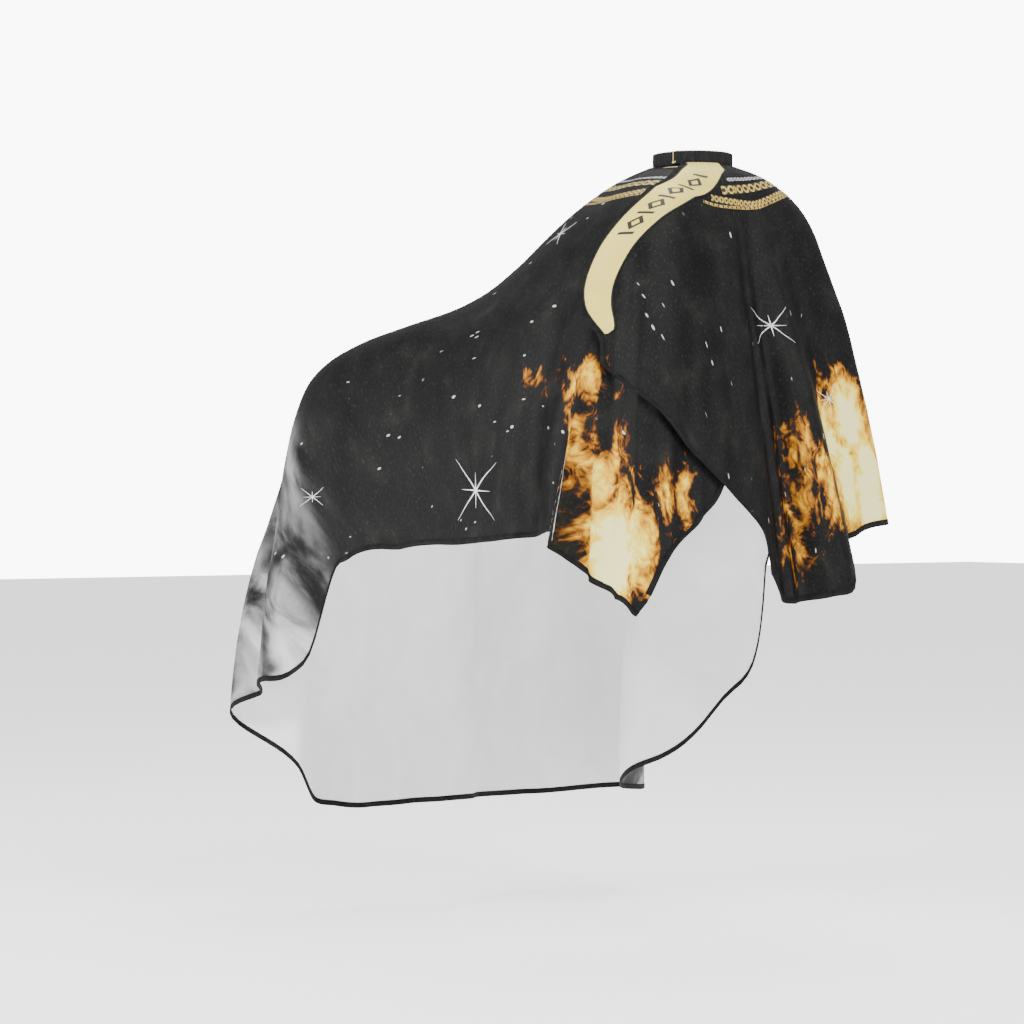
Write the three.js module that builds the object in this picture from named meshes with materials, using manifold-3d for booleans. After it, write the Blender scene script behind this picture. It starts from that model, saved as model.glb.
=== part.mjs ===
// Barber cape, worn and closed at the back: a printed sheet that hangs from an elastic neck band, over a seated
// client's shoulders, arms and lap. Millimetres, +Z up, origin at the centre of the neck seam. The client faces -Y,
// so the closure is at +Y and the client's left side is +X.
import * as THREE from "three";
import Module from "manifold-3d";

const wasm = await Module();
wasm.setup();

// ---------- driving dimensions ----------
const NECK_RADIUS = 64; // the sheet's neck edge, outer layer
const CLOTH = 1.6; // thickness of the sheet
const GAP = 0.4; // clearance between sewn neighbours
const CUT_GAP = 0.6; // degrees left open each side of the fold line and the tab's root
const BINDING_WALL = 0.9; // thickness of the folded binding
const BINDING_HEIGHT = 9; // how far the binding covers the sheet's edge
const CHANNEL_GAP = 1.1; // clearance inside a folded binding
const BAND_HEIGHT = 19; // elastic neck band
const BAND_WALL = 1.2;
const ELASTIC_WALL = 1;
const LINING_WALL = 0.7;
const LINING_PEEK = 1.4; // the lining stands above the band by this much
const LAYER_GAP = 0.3; // clearance between the layers of the neck band
const TAPE_WALL = 0.6; // tape over the neck seam, inside
const TAPE_BELOW = 3.6;
const TAPE_ABOVE = 2.4;
const PATCH_WALL = 0.8; // hook and loop patches of the neck fastening
const PATCH_LOW = 4;
const PATCH_HIGH = 16.5;
const PIPING_RADIUS = 1.1; // piping round the tab's end
const PIPING_HOOK = 5; // how far the piping turns back under the tab
const SASH_WALL = 1;
const SASH_WIDTH = 70; // contrast sash where it is widest, along the drape's lines
const SASH_POINT = 7; // width left at its lower end
const SASH_OFF = 1; // the sash stands this far off the flap's facets
const SHEET_CLEARANCE = 0.7; // and whatever lies on a sheet is cut this far off it
const TRIM_WIDTH = 2.4; // trim along both sides of the sash
const BAND_DEPTH = BAND_WALL + ELASTIC_WALL + LINING_WALL + 2 * LAYER_GAP;
const LAP_STEP = BAND_DEPTH + 2 * PATCH_WALL + 3 * LAYER_GAP; // how far the underlap lies inside the flap at the neck
const LAP_EASE = 5; // and how much further below the yoke

// Bearings are in degrees from the client's back, round by the client's left: 0 back, 90 left, 180 front.
const HINGE_BEARING = 357; // the flap folds open along the line below this bearing
const FLAP_NECK_BEARING = 412; // the flap's free edge at the neck
const TAB_END_BEARING = 427; // the tab reaches past the flap's free edge
const UNDERLAP_NECK_BEARING = -8; // the underlap's free edge at the neck
const LAP_FADE = [95, 135]; // the underlap's step inwards fades out between these bearings
const LOOP_PATCH = [10, 64];
const HOOK_PATCH = [TAB_END_BEARING - 12, TAB_END_BEARING - 1.5];

// The drape has seven lines: 0 neck, 1 yoke, 2 shoulder, 3 arm, 4 edge of what the cloth rests on, 5 skirt, 6 floor.
// Each row: bearing, reach and drop of the resting edge, how far the skirt and floor lines flare out past it,
// then [out, down] of the yoke, shoulder and arm lines as shares of the way from the neck to the resting edge.
const DRAPE = [
  [0, 182, 350, 62, 130, [0.17, 0.05], [0.39, 0.21], [0.73, 0.63]],
  [25, 194, 350, 64, 130, [0.17, 0.05], [0.4, 0.2], [0.74, 0.63]],
  [54, 266, 335, 54, 95, [0.2, 0.04], [0.43, 0.14], [0.84, 0.64]],
  [90, 310, 368, 26, 44, [0.18, 0.035], [0.42, 0.14], [0.79, 0.57]],
  [115, 362, 342, 20, 46, [0.14, 0.045], [0.35, 0.17], [0.77, 0.6]],
  [137, 484, 324, 28, 52, [0.095, 0.05], [0.27, 0.185], [0.59, 0.565]],
  [153, 712, 334, 84, 132, [0.065, 0.05], [0.175, 0.18], [0.455, 0.575]],
  [166, 696, 332, 74, 98, [0.065, 0.055], [0.175, 0.19], [0.455, 0.59]],
  [180, 672, 338, 52, 70, [0.065, 0.06], [0.18, 0.21], [0.46, 0.63]],
];
const SKIRT_DROP = 629;
const FLOOR_DROP = 1099;

// How far down the hem hangs at each bearing: the root sheet's, then the flap's.
const HEM = [
  [30, 718], [54, 712], [60.6, 694], [66, 679], [73.6, 648], [78.5, 612], [83, 588], [93, 594],
  [116, 607], [134, 617], [140.8, 636], [142.6, 664], [143.6, 735], [144.6, 800], [145.8, 832],
  [148.4, 846], [150.2, 856], [152.1, 866], [154, 880], [155.9, 905], [157.8, 945], [159.7, 985],
  [161.6, 1030], [163.5, 1066], [167, 1082], [172, 1086], [182, 1080], [196, 1084], [209, 1076],
  [214.2, 1068], [219.6, 1040], [222.4, 1010], [225.1, 985], [227.8, 935], [229.5, 880], [231, 850],
  [233.3, 790], [236, 700], [238, 655], [250, 604], [270, 588], [289, 577], [306, 576], [322, 592],
  [331, 616], [337, 668], [347, 687], [357, 697],
];
const FLAP_HEM = [[357, 697], [363, 694], [367, 682], [371, 650]];

// Free edges, as [line of the drape, bearing].
const UNDERLAP_EDGE = [[0, -8], [1, -8], [2, -6], [3, 0], [4, 13], [4.67, 30], [4.87, 40], [5.18, 54]];
const FLAP_EDGE = [
  [0, 412], [1, 414], [1.7, 419], [2.1, 427], [2.35, 435], [2.65, 441.5], [2.9, 443], [3.15, 440], [3.48, 432],
  [4.07, 421], [4.2, 411], [4.4, 400], [4.57, 389], [4.71, 379.5], [4.82, 373.5], [5.04, 371],
];

// Folds: bearing, half width in degrees, depth (outwards is positive), and the line where the fold starts.
const FOLDS = [
  [-62, 9, 10, 1.8], [-42, 8, 14, 1.8], [-21, 7, -34, 1.4], [-3, 8, 16, 1.4], [14, 8, -8, 2.6],
  [62, 9, 18, 2.6], [77, 6, -26, 2.0], [92, 9, 8, 3.2], [124, 8, 7, 3.6],
  [140, 3, -14, 3.9], [144, 2.4, 10, 3.9], [148, 2.2, -16, 4.1], [153.5, 2.4, 12, 4.0], [157, 2.4, -84, 4.3],
  [160.8, 2.4, 24, 4.3], [165, 3, -22, 4.2],
  [174, 5, -18, 4.2], [184, 5, 14, 4.2], [194, 5, -20, 4.2], [203, 4, 14, 4.1],
  [211, 3.6, -30, 4.0], [221, 7, 150, 4.2], [234, 4, -14, 3.9], [243, 8, 8, 3.6], [262, 9, -10, 3.0],
  [280, 9, 12, 2.4],
];

// ---------- smooth curves ----------

// A smooth curve through the points xs, ys, and straight on past its ends.
function smooth(xs, ys, x) {
  const last = xs.length - 1;
  const slope = (i) => (ys[i + 1] - ys[i]) / (xs[i + 1] - xs[i]);
  if (x <= xs[0]) return ys[0] + slope(0) * (x - xs[0]);
  if (x >= xs[last]) return ys[last] + slope(last - 1) * (x - xs[last]);
  let i = 0;
  while (x > xs[i + 1]) i += 1;
  const tangent = (k) => {
    if (k === 0) return slope(0);
    if (k === last) return slope(last - 1);
    const before = xs[k] - xs[k - 1];
    const after = xs[k + 1] - xs[k];
    return (slope(k) * before + slope(k - 1) * after) / (before + after);
  };
  const span = xs[i + 1] - xs[i];
  const t = (x - xs[i]) / span;
  const rise = ys[i + 1] - ys[i];
  const a = tangent(i) * span - rise;
  const b = rise - tangent(i + 1) * span;
  return ys[i] + t * rise + t * (1 - t) * (a * (1 - t) + b * t);
}

const along = (points, x) => smooth(points.map((p) => p[0]), points.map((p) => p[1]), x);
const ramp = (low, high, x) => {
  const t = Math.min(1, Math.max(0, (x - low) / (high - low)));
  return t * t * (3 - 2 * t);
};
const radians = (degrees) => (degrees * Math.PI) / 180;

// ---------- the drape ----------

// One meridian's points [out, down] at the seven lines.
function meridian([, reach, drop, skirtFlare, floorFlare, yoke, shoulder, arm]) {
  const upper = [[0, 0], yoke, shoulder, arm, [1, 1]];
  const points = upper.map(([out, down]) => [NECK_RADIUS + out * (reach - NECK_RADIUS), down * drop]);
  return [...points, [reach + skirtFlare, SKIRT_DROP], [reach + floorFlare, FLOOR_DROP]];
}

// The whole turn, with a quarter turn more at each end: the right half mirrors the left.
const half = DRAPE.map((row) => ({ bearing: row[0], points: meridian(row) }));
const turn = [...half, ...half.slice(1, -1).reverse().map((m) => ({ bearing: 360 - m.bearing, points: m.points }))];
const MERIDIANS = [
  ...turn.filter((m) => m.bearing > 200).map((m) => ({ ...m, bearing: m.bearing - 360 })),
  ...turn,
  ...turn.filter((m) => m.bearing < 160).map((m) => ({ ...m, bearing: m.bearing + 360 })),
];
const BEARINGS = MERIDIANS.map((m) => m.bearing);

// [out, down] at a bearing and a line: each line's curve round the body, then the meridian's curve through them.
function profile(bearing, line) {
  const knots = [];
  for (let k = 0; k < 7; k += 1) {
    knots.push([0, 1].map((axis) => smooth(BEARINGS, MERIDIANS.map((m) => m.points[k][axis]), bearing)));
  }
  const path = [0];
  for (let k = 1; k < 7; k += 1) {
    path.push(path[k - 1] + Math.hypot(knots[k][0] - knots[k - 1][0], knots[k][1] - knots[k - 1][1]));
  }
  const k = Math.min(5, Math.floor(line));
  const at = path[k] + (line - k) * (path[k + 1] - path[k]);
  return [0, 1].map((axis) => smooth(path, knots.map((p) => p[axis]), at));
}

function bare(bearing, line) {
  const [out, down] = profile(bearing, line);
  return new THREE.Vector3(out * Math.sin(radians(bearing)), out * Math.cos(radians(bearing)), -down);
}

// How far the folds push the cloth out at a bearing and a line.
function foldDepth(bearing, line) {
  return FOLDS.reduce((sum, [at, halfWidth, depth, start]) => {
    const turns = Math.round((bearing - at) / 360);
    const away = Math.abs(bearing - at - turns * 360) / (halfWidth * 1.6);
    const bell = away < 1 ? (1 - away * away) ** 2 : 0;
    return sum + depth * bell * ramp(start, 5.6, line) ** 0.8;
  }, 0);
}

const STEP = 0.4; // degrees, for the direction round the body

// The outer face of the outer layer.
function draped(bearing, line) {
  const round = bare(bearing - STEP, line).sub(bare(bearing + STEP, line));
  const outwards = new THREE.Vector3(-round.y, round.x, 0).normalize();
  return bare(bearing, line).addScaledVector(outwards, foldDepth(bearing, line));
}

// The cloth's outward direction.
function facing(bearing, line) {
  const step = 0.03;
  const low = Math.max(0, line - step);
  const round = draped(bearing + STEP, line).sub(draped(bearing - STEP, line));
  const down = draped(bearing, line + step).sub(draped(bearing, low));
  return round.cross(down).normalize();
}

// The line of the drape at which a bearing is this far down.
function lineAt(bearing, drop) {
  let low = 3;
  let high = 6;
  for (let i = 0; i < 24; i += 1) {
    const middle = (low + high) / 2;
    if (-draped(bearing, middle).z < drop) low = middle;
    else high = middle;
  }
  return low;
}

// How far inside the flap's layer the sheet lies at a bearing along its neck edge.
const lapStep = (bearing) => LAP_STEP * (1 - ramp(LAP_FADE[0], LAP_FADE[1], bearing));

// ---------- sheets as grids ----------

const UPPER_LINES = [0, 0.4, 0.8, 1.2, 1.6, 2, 2.4, 2.8, 3.2, 3.6, 4];
const LOWER_SHARES = [0.2, 0.4, 0.6, 0.8, 1];

// A column of the root sheet: the free edge of the underlap leans over, and the lean fades out round the side.
const UNDERLAP_LEAN_END = 95;
const UNDERLAP_CORNER_LINE = UNDERLAP_EDGE[UNDERLAP_EDGE.length - 1][0];
function rootColumn(start) {
  const weight = Math.max(0, (UNDERLAP_LEAN_END - start) / (UNDERLAP_LEAN_END - UNDERLAP_NECK_BEARING));
  const bearingAt = (line) => {
    const lean = along(UNDERLAP_EDGE, Math.min(line, UNDERLAP_CORNER_LINE)) - UNDERLAP_NECK_BEARING;
    return start + lean * weight;
  };
  const end = bearingAt(UNDERLAP_CORNER_LINE);
  const inset = (line, bearing) => lapStep(bearing) * (1 + (LAP_EASE / LAP_STEP) * ramp(0, 1.5, line));
  return { bearingAt, last: lineAt(end, along(HEM, end)), inset };
}

// A column of the flap, between the fold line and its free edge.
const FLAP_CORNER_LINE = FLAP_EDGE[FLAP_EDGE.length - 1][0];
function flapColumn(share) {
  const bearingAt = (line) =>
    HINGE_BEARING + share * (along(FLAP_EDGE, Math.min(line, FLAP_CORNER_LINE)) - HINGE_BEARING);
  const end = bearingAt(FLAP_CORNER_LINE);
  return { bearingAt, last: lineAt(end, along(FLAP_HEM, end)), inset: () => 0 };
}

// A point on a column with its outward direction. Past the neck seam it starts just under the band.
function onColumn(column, line) {
  const bearing = column.bearingAt(line);
  const normal = facing(bearing, line);
  const point = draped(bearing, line).addScaledVector(normal, -column.inset(line, bearing));
  return { point, normal };
}

const columnLines = (last) => [...UPPER_LINES, ...LOWER_SHARES.map((share) => 4 + share * (last - 4))];

// The direction out of the sheet at an edge cell, and the cell a little inside it on the same flat strip, so that
// the sheet lies flat inside its binding. Near the neck, where the columns are close, the strip is narrower.
const STRIP = 16;
const STRIP_SHARE = 0.6; // of the way to the next column, at most
function edgePlace(edge, inner) {
  const away = edge.point.clone().sub(inner.point);
  away.addScaledVector(edge.normal, -away.dot(edge.normal)).normalize();
  return { point: edge.point, normal: edge.normal, away };
}
function stripCell(edge, inner) {
  const width = Math.min(STRIP, STRIP_SHARE * edge.point.distanceTo(inner.point));
  return { point: edge.point.clone().addScaledVector(edgePlace(edge, inner).away, -width), normal: edge.normal };
}

// A sheet's cells, with a flat strip along its hem and along its bound side.
function grid(columns, boundSide) {
  const cells = columns.map((column) => columnLines(column.last).map((line) => onColumn(column, line)));
  if (boundSide === "first") cells.splice(1, 0, cells[0].map((edge, j) => stripCell(edge, cells[1][j])));
  else cells.splice(-1, 0, cells.at(-1).map((edge, j) => stripCell(edge, cells.at(-2)[j])));
  cells.forEach((column) => column.splice(-1, 0, stripCell(column.at(-1), column.at(-2))));
  return cells;
}

function spread(from, to, count) {
  return Array.from({ length: count + 1 }, (_, i) => from + ((to - from) * i) / count);
}

const ROOT_STARTS = [
  ...spread(UNDERLAP_NECK_BEARING, 95, 20),
  ...spread(95, 137, 12).slice(1),
  ...spread(137, 172, 24).slice(1),
  ...spread(172, 206, 14).slice(1),
  ...spread(206, 236, 14).slice(1),
  ...spread(236, HINGE_BEARING - CUT_GAP / 2, 26).slice(1),
];
const FLAP_START = CUT_GAP / 2 / (FLAP_NECK_BEARING - HINGE_BEARING);
const rootGrid = grid(ROOT_STARTS.map(rootColumn), "first");
const flapGrid = grid(spread(FLAP_START, 1, 16).map(flapColumn), "last");

// ---------- solids ----------

// A closed surface from a list of rings, each ring a closed loop of the same number of points. The faces from the
// corner named crossed are split along their other diagonal.
function tube(rings, crossed = -1) {
  const size = rings[0].length;
  const positions = rings.flat().flatMap((p) => [p.x, p.y, p.z]);
  const index = [];
  for (let i = 0; i + 1 < rings.length; i += 1) {
    for (let j = 0; j < size; j += 1) {
      const a = i * size + j;
      const b = i * size + ((j + 1) % size);
      if (j === crossed) index.push(a, b, a + size, b, b + size, a + size);
      else index.push(a, b, b + size, a, b + size, a + size);
    }
  }
  const cap = (ring, start, flip) => {
    const flat = flatten(ring);
    THREE.ShapeUtils.triangulateShape(flat, []).forEach((t) => {
      const [p, q, r] = t.map((k) => start + k);
      index.push(...(flip ? [p, r, q] : [p, q, r]));
    });
  };
  cap(rings[0], 0, true);
  cap(rings[rings.length - 1], (rings.length - 1) * size, false);
  return solid(positions, index);
}

// A ring's points in its own plane, in the ring's turning sense.
function flatten(ring) {
  const normal = new THREE.Vector3();
  ring.forEach((p, i) => normal.add(p.clone().cross(ring[(i + 1) % ring.length])));
  normal.normalize();
  const u = ring[1].clone().sub(ring[0]).normalize();
  const v = normal.cross(u);
  return ring.map((p) => new THREE.Vector2(p.dot(u), p.dot(v)));
}

// A geometry from its points and faces, turned right side out.
function solid(positions, index) {
  const corner = (i) => new THREE.Vector3().fromArray(positions, 3 * i);
  let volume = 0;
  for (let i = 0; i < index.length; i += 3) {
    volume += corner(index[i]).dot(corner(index[i + 1]).cross(corner(index[i + 2])));
  }
  if (volume < 0) {
    for (let i = 0; i < index.length; i += 3) [index[i], index[i + 1]] = [index[i + 1], index[i]];
  }
  const geometry = new THREE.BufferGeometry();
  geometry.setAttribute("position", new THREE.Float32BufferAttribute(positions, 3));
  geometry.setIndex(index);
  geometry.computeVertexNormals();
  return geometry;
}

// A sheet of even thickness: outer and inner faces from a grid, joined round the rim.
function shell(cells, outer, inner) {
  const columns = cells.length;
  const rows = cells[0].length;
  const offset = (distance) => cells.flat().map(({ point, normal }) => point.clone().addScaledVector(normal, distance));
  const positions = [...offset(outer), ...offset(inner)].flatMap((p) => [p.x, p.y, p.z]);
  const under = columns * rows;
  const at = (i, j) => i * rows + j;
  const index = [];
  const quad = (a, b, c, d) => index.push(a, b, c, a, c, d);
  for (let i = 0; i + 1 < columns; i += 1) {
    for (let j = 0; j + 1 < rows; j += 1) {
      const [a, b, c, d] = [at(i, j), at(i + 1, j), at(i + 1, j + 1), at(i, j + 1)];
      quad(a, b, c, d);
      quad(under + a, under + d, under + c, under + b);
    }
  }
  const rim = [];
  for (let i = 0; i + 1 < columns; i += 1) rim.push(at(i, 0));
  for (let j = 0; j + 1 < rows; j += 1) rim.push(at(columns - 1, j));
  for (let i = columns - 1; i > 0; i -= 1) rim.push(at(i, rows - 1));
  for (let j = rows - 1; j > 0; j -= 1) rim.push(at(0, j));
  rim.forEach((a, k) => {
    const b = rim[(k + 1) % rim.length];
    quad(b, a, under + a, under + b);
  });
  return solid(positions, index);
}

// Folded binding along a sheet's edge: a channel that the raw edge lies in. Each place on the edge has the edge
// point, the outward normal and the direction out of the sheet.
function channel(places) {
  const wall = CHANNEL_GAP + BINDING_WALL;
  return tube(
    places.map(({ point, normal, away }) => {
      const corner = (out, past) => point.clone().addScaledVector(normal, out).addScaledVector(away, past);
      return [
        corner(wall, -BINDING_HEIGHT), corner(wall, wall),
        corner(-CLOTH - wall, wall), corner(-CLOTH - wall, -BINDING_HEIGHT),
        corner(-CLOTH - CHANNEL_GAP, -BINDING_HEIGHT), corner(-CLOTH - CHANNEL_GAP, CHANNEL_GAP),
        corner(CHANNEL_GAP, CHANNEL_GAP), corner(CHANNEL_GAP, -BINDING_HEIGHT),
      ];
    }),
    6,
  );
}

const hemPlaces = (cells) => cells.map((column) => edgePlace(column[column.length - 1], column[column.length - 2]));
const sidePlaces = (edge, inner) => edge.map((cell, j) => edgePlace(cell, inner[j]));

// The largest body left of a solid when the space of a sheet, with its clearance, is cut from it.
function clearOf(cells, geometry) {
  const closed = ({ attributes, index }) =>
    new wasm.Manifold(
      new wasm.Mesh({ numProp: 3, vertProperties: attributes.position.array, triVerts: new Uint32Array(index.array) }),
    );
  const bodies = closed(geometry).subtract(closed(shell(cells, SHEET_CLEARANCE, -CLOTH - SHEET_CLEARANCE))).decompose();
  const kept = bodies.sort((a, b) => b.volume() - a.volume())[0].getMesh();
  return solid([...kept.vertProperties], [...kept.triVerts]);
}

// A strip of a ring round the neck, between two radii that may change with the bearing, and two heights.
function ringWall(from, to, radiusAt, wall, low, high) {
  const steps = Math.max(2, Math.ceil((to - from) / 6));
  return tube(
    spread(from, to, steps).map((bearing) => {
      const direction = new THREE.Vector3(Math.sin(radians(bearing)), Math.cos(radians(bearing)), 0);
      const corner = (out, z) => direction.clone().multiplyScalar(out).setZ(z);
      const inner = radiusAt(bearing);
      return [corner(inner, low), corner(inner + wall, low), corner(inner + wall, high), corner(inner, high)];
    }),
  );
}

// ---------- the model ----------

const PRINTED = ["#232323", 0.6, 0];
const BINDING = ["#111111", 0.8, 0];
const CREAM = ["#e2d8aa", 0.55, 0];
const ELASTIC = ["#1a1a1a", 0.9, 0];
const YELLOW = ["#e6c84a", 0.6, 0];

const cape = new THREE.Group();
const flap = new THREE.Group(); // turns about the fold line
const tab = new THREE.Group(); // turns about its root on the flap's band
flap.add(tab);
cape.add(flap);

function add(parent, name, geometry, [color, roughness, metalness]) {
  const mesh = new THREE.Mesh(geometry, new THREE.MeshStandardMaterial({ color, roughness, metalness }));
  mesh.name = name;
  parent.add(mesh);
}

// Sheets
add(cape, "cape_sheet", shell(rootGrid, 0, -CLOTH), PRINTED);
add(flap, "closure_flap", shell(flapGrid, 0, -CLOTH), PRINTED);

// Bindings: the side bindings stop short of the neck band and of the hem bindings.
const SIDE_START_ROOM = 4;
const SIDE_END_ROOM = 2 * (CHANNEL_GAP + BINDING_WALL) + BINDING_HEIGHT;
function cutShort(places) {
  const moved = (from, to, distance) => {
    const mixed = (key) => from[key].clone().lerp(to[key], distance / from.point.distanceTo(to.point));
    return { point: mixed("point"), normal: mixed("normal").normalize(), away: mixed("away").normalize() };
  };
  const start = moved(places[0], places[1], SIDE_START_ROOM);
  const end = moved(places.at(-1), places.at(-2), SIDE_END_ROOM);
  return [start, ...places.slice(1, -1), end];
}
add(cape, "hem_binding", clearOf(rootGrid, channel(hemPlaces(rootGrid))), BINDING);
const underlapSide = cutShort(sidePlaces(rootGrid[0], rootGrid[1]));
add(cape, "underlap_edge_binding", clearOf(rootGrid, channel(underlapSide)), BINDING);
add(flap, "flap_hem_binding", clearOf(flapGrid, channel(hemPlaces(flapGrid))), BINDING);
const flapSide = cutShort(sidePlaces(flapGrid.at(-1), flapGrid.at(-2)));
add(flap, "flap_edge_binding", clearOf(flapGrid, channel(flapSide)), BINDING);

// Sash: it lies on the flap beside the free edge's binding, between two trims, and tapers to its lower end.
const SASH_ROWS = 10; // rows of the flap's grid that the sash covers
const SASH_SIDE = BINDING_HEIGHT + TRIM_WIDTH + 2 * GAP; // from the flap's free edge to the sash
const sashWidth = (row) => SASH_POINT + (SASH_WIDTH - SASH_POINT) * Math.sqrt(1 - (row / (SASH_ROWS - 1)) ** 3);

// A row of the flap's grid from its free edge to the fold line, and the row's length.
const flapRow = (row) => flapGrid.map((column) => column[row]).reverse();
const rowLength = (row) =>
  flapRow(row).reduce((sum, cell, i, cells) => sum + (i ? cell.point.distanceTo(cells[i - 1].point) : 0), 0);

// The place on a row of the flap's grid that lies this far in from its free edge.
function inFromEdge(row, distance) {
  const cells = flapRow(row);
  let left = distance;
  let i = 0;
  while (left > cells[i].point.distanceTo(cells[i + 1].point)) {
    left -= cells[i].point.distanceTo(cells[i + 1].point);
    i += 1;
  }
  const share = left / cells[i].point.distanceTo(cells[i + 1].point);
  return {
    point: cells[i].point.clone().lerp(cells[i + 1].point, share),
    normal: cells[i].normal.clone().lerp(cells[i + 1].normal, share).normalize(),
  };
}

// A strip on the flap between two distances from its free edge, each given row by row.
function stripOnFlap(near, far, steps) {
  const rows = spread(0, SASH_ROWS - 1, SASH_ROWS - 1);
  const cells = spread(0, 1, steps).map((share) =>
    rows.map((row) => inFromEdge(row, near(row) + share * (far(row) - near(row)))),
  );
  return clearOf(flapGrid, shell(cells.reverse(), SASH_OFF + SASH_WALL, SASH_OFF));
}
const sashFar = (row) => Math.min(SASH_SIDE + sashWidth(row), rowLength(row) - TRIM_WIDTH - 2 * GAP);
const trim = (from) => stripOnFlap((row) => from(row), (row) => from(row) + TRIM_WIDTH, 1);
add(flap, "sash_panel", stripOnFlap(() => SASH_SIDE, sashFar, 6), CREAM);
add(flap, "sash_outer_trim", trim(() => SASH_SIDE - GAP - TRIM_WIDTH), BINDING);
add(flap, "sash_inner_trim", trim((row) => sashFar(row) + GAP), BINDING);

// Neck band: outer band, elastic inside it, lining, and tape over the seam. Depths are inwards from the outer face.
const outerFace = (bearing) => NECK_RADIUS - lapStep(bearing);
const ELASTIC_DEPTH = BAND_WALL + LAYER_GAP;
const LINING_DEPTH = ELASTIC_DEPTH + ELASTIC_WALL + LAYER_GAP;
const TAPE_DEPTH = LINING_DEPTH + LINING_WALL + LAYER_GAP;
const BAND_TOP = GAP + BAND_HEIGHT;
const HEM_ALLOWANCE = 3; // the elastic stays this far inside the band's top and bottom
function layer([from, to], depth, wall, low, high) {
  const onFlap = from >= HINGE_BEARING;
  return ringWall(from, to, (at) => (onFlap ? NECK_RADIUS : outerFace(at)) - depth - wall, wall, low, high);
}

const ROOT_NECK = [UNDERLAP_NECK_BEARING, HINGE_BEARING - CUT_GAP];
const FLAP_NECK = [HINGE_BEARING + CUT_GAP, FLAP_NECK_BEARING - CUT_GAP];
const TAB_NECK = [FLAP_NECK_BEARING + CUT_GAP, TAB_END_BEARING];
[
  [cape, "neck", ROOT_NECK],
  [flap, "flap", FLAP_NECK],
  [tab, "tab", TAB_NECK],
].forEach(([body, prefix, span]) => {
  add(body, prefix + "_band", layer(span, 0, BAND_WALL, GAP, BAND_TOP), ELASTIC);
  add(body, prefix + "_lining", layer(span, LINING_DEPTH, LINING_WALL, GAP, BAND_TOP + LINING_PEEK), YELLOW);
  if (body === tab) return;
  add(body, prefix + "_elastic", layer(span, ELASTIC_DEPTH, ELASTIC_WALL, HEM_ALLOWANCE, BAND_TOP - HEM_ALLOWANCE), CREAM);
  add(body, prefix + "_seam_tape", layer(span, TAPE_DEPTH, TAPE_WALL, -TAPE_BELOW, TAPE_ABOVE), BINDING);
});

// Hook and loop fastening between the tab and the underlap's band
const loop = () => ringWall(...LOOP_PATCH, (at) => outerFace(at) + LAYER_GAP, PATCH_WALL, PATCH_LOW, PATCH_HIGH);
add(cape, "loop_patch", loop(), BINDING);
const hookDepth = LINING_DEPTH + LINING_WALL + LAYER_GAP;
add(tab, "hook_patch", layer(HOOK_PATCH, hookDepth, PATCH_WALL, PATCH_LOW, PATCH_HIGH), BINDING);

// Piping down the tab's end, with its tail turned back
const pipingBearing = TAB_END_BEARING + (PIPING_RADIUS + GAP) / radians(1) / NECK_RADIUS;
function aroundNeck(bearing, radius, z) {
  return new THREE.Vector3(Math.sin(radians(bearing)), Math.cos(radians(bearing)), 0).multiplyScalar(radius).setZ(z);
}
const pipingRadius = NECK_RADIUS - BAND_DEPTH / 2;
const pipingTail = PIPING_RADIUS + GAP;
const pipingPath = new THREE.CatmullRomCurve3([
  aroundNeck(pipingBearing, pipingRadius, BAND_TOP + LINING_PEEK),
  aroundNeck(pipingBearing, pipingRadius, BAND_TOP / 2),
  aroundNeck(pipingBearing, pipingRadius + 0.5, pipingTail + 2),
  aroundNeck(pipingBearing + 0.4, pipingRadius + 2.2, pipingTail),
  aroundNeck(pipingBearing - PIPING_HOOK / 2, NECK_RADIUS + PIPING_RADIUS + GAP, pipingTail),
  aroundNeck(pipingBearing - PIPING_HOOK, NECK_RADIUS + PIPING_RADIUS + GAP, pipingTail + 1.5),
]);
const pipingSection = new THREE.Shape().absarc(0, 0, PIPING_RADIUS, 0, 2 * Math.PI);
const pipingForm = { steps: 24, curveSegments: 5, extrudePath: pipingPath };
add(tab, "tab_end_piping", new THREE.ExtrudeGeometry(pipingSection, pipingForm), YELLOW);

export default cape;
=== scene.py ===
"""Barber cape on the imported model: printed cloth, bindings, sash, neck band and tab. Metres, +Z up."""

import math

import bpy
import numpy as np
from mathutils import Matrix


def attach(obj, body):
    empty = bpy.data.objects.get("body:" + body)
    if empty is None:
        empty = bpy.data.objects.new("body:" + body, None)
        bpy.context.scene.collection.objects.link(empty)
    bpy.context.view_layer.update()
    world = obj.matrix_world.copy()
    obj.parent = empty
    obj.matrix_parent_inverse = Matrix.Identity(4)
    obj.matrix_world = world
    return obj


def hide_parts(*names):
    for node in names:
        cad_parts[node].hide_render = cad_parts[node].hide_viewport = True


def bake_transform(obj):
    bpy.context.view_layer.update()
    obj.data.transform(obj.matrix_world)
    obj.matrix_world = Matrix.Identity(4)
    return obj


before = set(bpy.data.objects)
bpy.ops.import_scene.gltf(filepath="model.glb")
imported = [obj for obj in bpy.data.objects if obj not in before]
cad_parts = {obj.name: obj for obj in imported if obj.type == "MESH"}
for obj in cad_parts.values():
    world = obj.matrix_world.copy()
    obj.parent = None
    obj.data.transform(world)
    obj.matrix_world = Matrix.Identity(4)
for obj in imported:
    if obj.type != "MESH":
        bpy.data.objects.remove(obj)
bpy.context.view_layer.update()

MM = 0.001

# ---------- sizes ----------

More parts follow.
